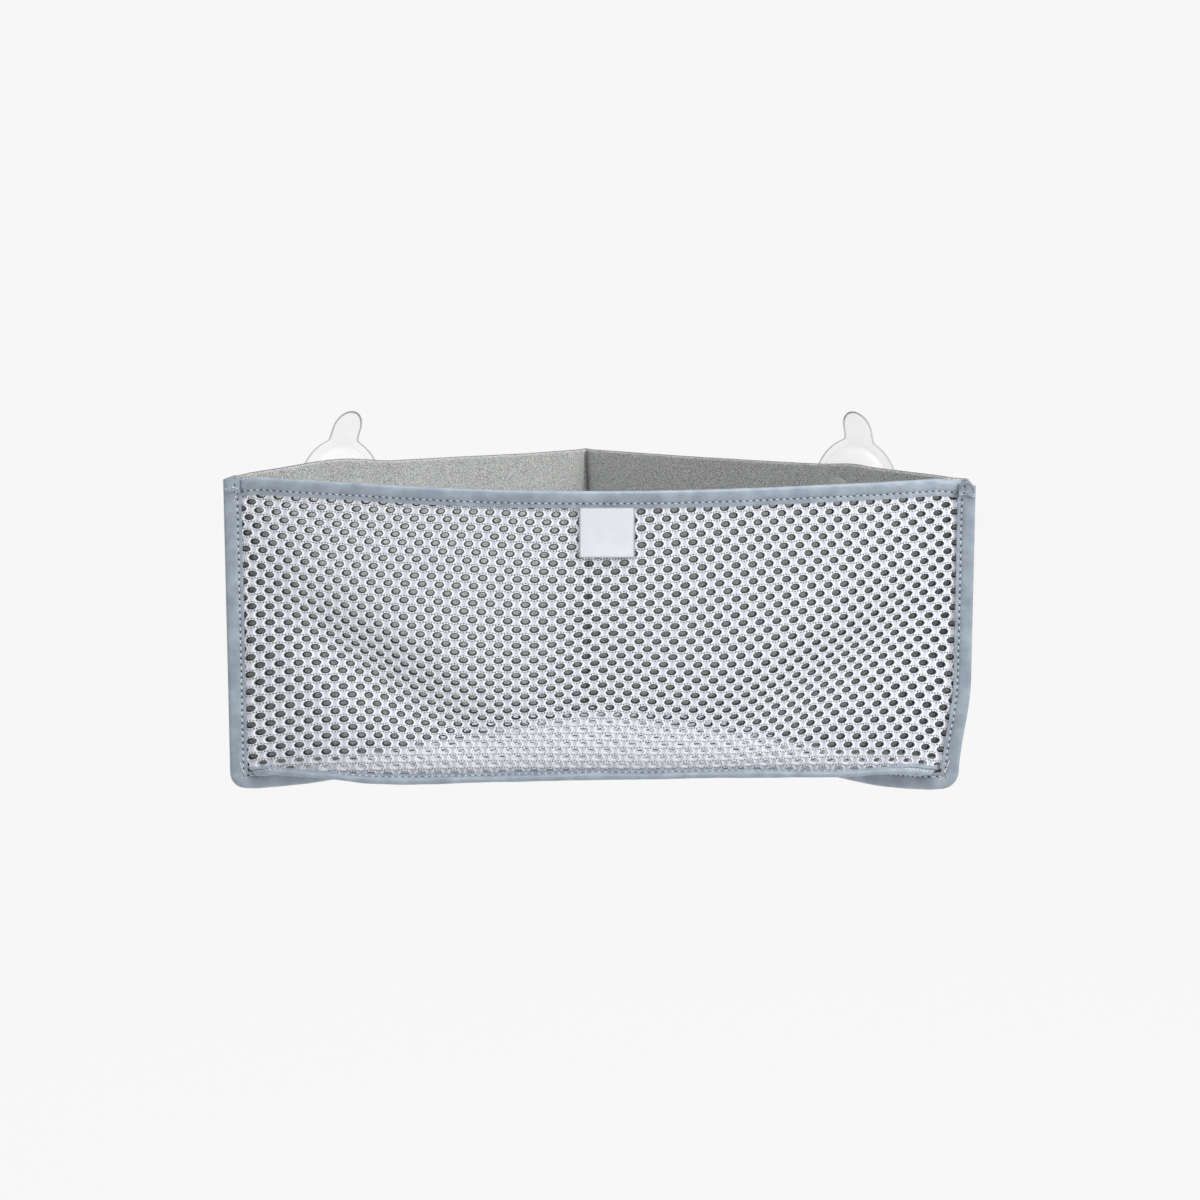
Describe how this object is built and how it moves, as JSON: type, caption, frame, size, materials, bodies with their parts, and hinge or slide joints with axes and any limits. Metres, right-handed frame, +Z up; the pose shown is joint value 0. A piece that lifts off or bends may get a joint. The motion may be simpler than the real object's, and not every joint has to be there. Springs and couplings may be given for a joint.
{
  "type": "bath toy organizer",
  "caption": "Three-cornered hanging basket for a bath corner: net front and floor, grey neoprene back panels, taped edges and clear suction cups that hold it to the walls.",
  "frame": {"origin": "outer edge of the corner seam, at the height of the suction cups' centres", "axes": "+X along the front towards the right-hand suction cup, +Y into the wall corner, +Z up"},
  "size_m": [0.359, 0.1962, 0.184],
  "materials": {
    "neoprene": "matt, finely speckled knit face",
    "air_mesh": "matt knitted net",
    "binding_tape": "satin weave",
    "label_cloth": "satin weave",
    "clear_vinyl": "clear gloss"
  },
  "bodies": {
    "basket": {"left_back_panel": "neoprene", "right_back_panel": "neoprene", "front_mesh_panel": "air_mesh", "mesh_floor": "air_mesh", "top_binding": "binding_tape", "front_bottom_binding": "binding_tape", "left_edge_binding": "binding_tape", "right_edge_binding": "binding_tape", "label_patch": "label_cloth"},
    "left_cup": {"left_suction_cup": "clear_vinyl"},
    "right_cup": {"right_suction_cup": "clear_vinyl"}
  },
  "joints": [
    {"name": "left_cup_spin", "type": "hinge", "parent": "basket", "child": "left_cup", "pos_m": [-0.12092, -0.12445, 0], "axis": [-0.7071, 0.7071, 0], "continuous": true},
    {"name": "right_cup_spin", "type": "hinge", "parent": "basket", "child": "right_cup", "pos_m": [0.12092, -0.12445, 0], "axis": [0.7071, 0.7071, 0], "continuous": true}
  ]
}
